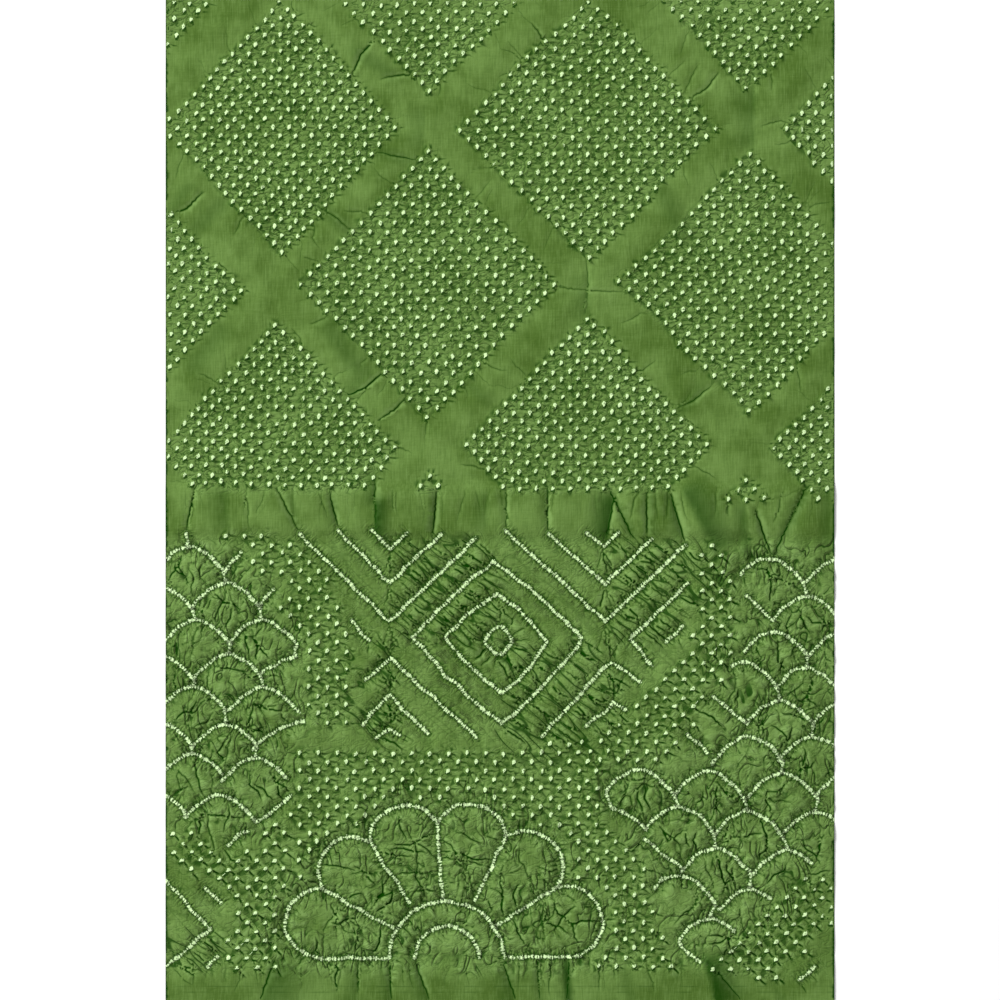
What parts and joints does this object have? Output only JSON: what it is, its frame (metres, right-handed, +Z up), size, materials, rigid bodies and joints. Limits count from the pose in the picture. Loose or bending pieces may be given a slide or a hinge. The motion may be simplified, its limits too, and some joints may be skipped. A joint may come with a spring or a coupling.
{
  "type": "bandhani cloth",
  "caption": "Cut length of tie-dyed bandhani cotton lying face up, its tied dots, diamonds, scallops, chevrons and half flower left in puckers and pleats.",
  "frame": {"origin": "middle of the cloth's outline, on the surface it lies on", "axes": "+Z up out of the cloth's face; +Y along the cut length, from the border's plain end to the dotted field; +X across the width"},
  "size_m": [0.5012, 0.7501, 0.0049],
  "materials": {
    "cotton": "matt resist-dyed plain weave, crinkled by its knots"
  },
  "bodies": {
    "root": {"cloth": "cotton"}
  },
  "joints": []
}
